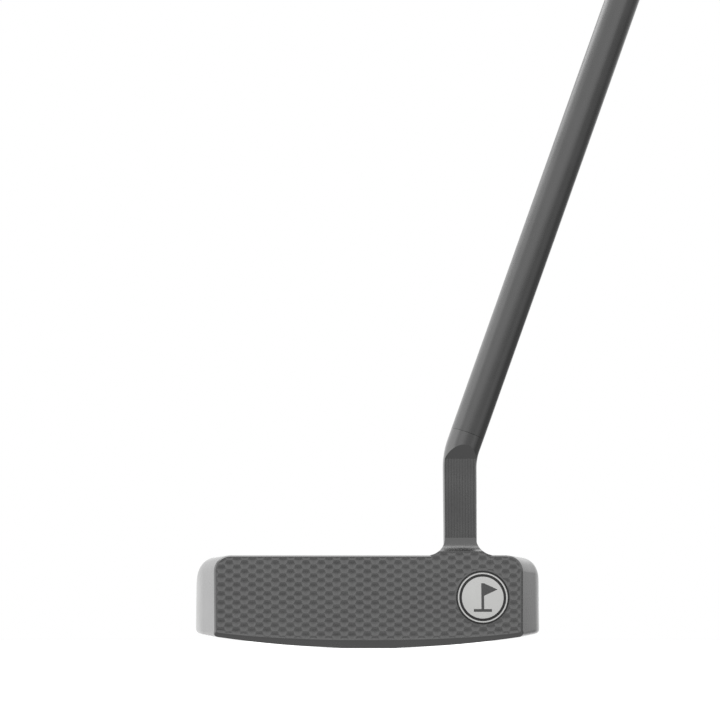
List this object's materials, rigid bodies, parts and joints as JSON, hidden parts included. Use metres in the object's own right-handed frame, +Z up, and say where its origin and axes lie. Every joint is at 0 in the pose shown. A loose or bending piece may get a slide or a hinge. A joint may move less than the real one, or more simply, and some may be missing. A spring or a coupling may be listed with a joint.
{
  "type": "blade putter",
  "caption": "Wide-body blade putter with a dimpled milled face, fluted bent neck, straight shaft fitted over it, flat-front pistol grip and sole weights.",
  "frame": {"origin": "point of the ground under the middle of the leading edge, where the sole rests at address", "axes": "+X from toe to heel, -Y towards the target (the face looks along -Y), +Z up; the shaft leans 19.9 degrees from +Z towards +X"},
  "size_m": [0.3664, 0.0419, 0.815],
  "materials": {
    "gunmetal_steel": "satin dark grey PVD over milled stainless steel",
    "badge_nickel": "brushed nickel",
    "black_enamel": "gloss black enamel",
    "grey_enamel": "satin dark grey enamel",
    "white_paint": "matt white paint",
    "weight_steel": "turned stainless steel, dark satin",
    "shaft_steel": "satin dark grey PVD",
    "epoxy": "cured epoxy",
    "tape": "double-sided paper tape",
    "grip_rubber": "matt black rubber with a fine moulded texture",
    "cap_plastic": "satin black plastic"
  },
  "bodies": {
    "root": {"head_body": "gunmetal_steel", "neck": "gunmetal_steel", "badge_medallion": "badge_nickel", "badge_enamel_inner": "black_enamel", "badge_enamel_outer": "black_enamel", "badge_flag_inlay": "grey_enamel", "sight_line_fill": "white_paint", "heel_weight": "weight_steel", "toe_weight": "weight_steel", "shaft": "shaft_steel", "shaft_bond": "epoxy", "grip_tape": "tape", "grip": "grip_rubber", "grip_cap": "cap_plastic"}
  },
  "joints": []
}
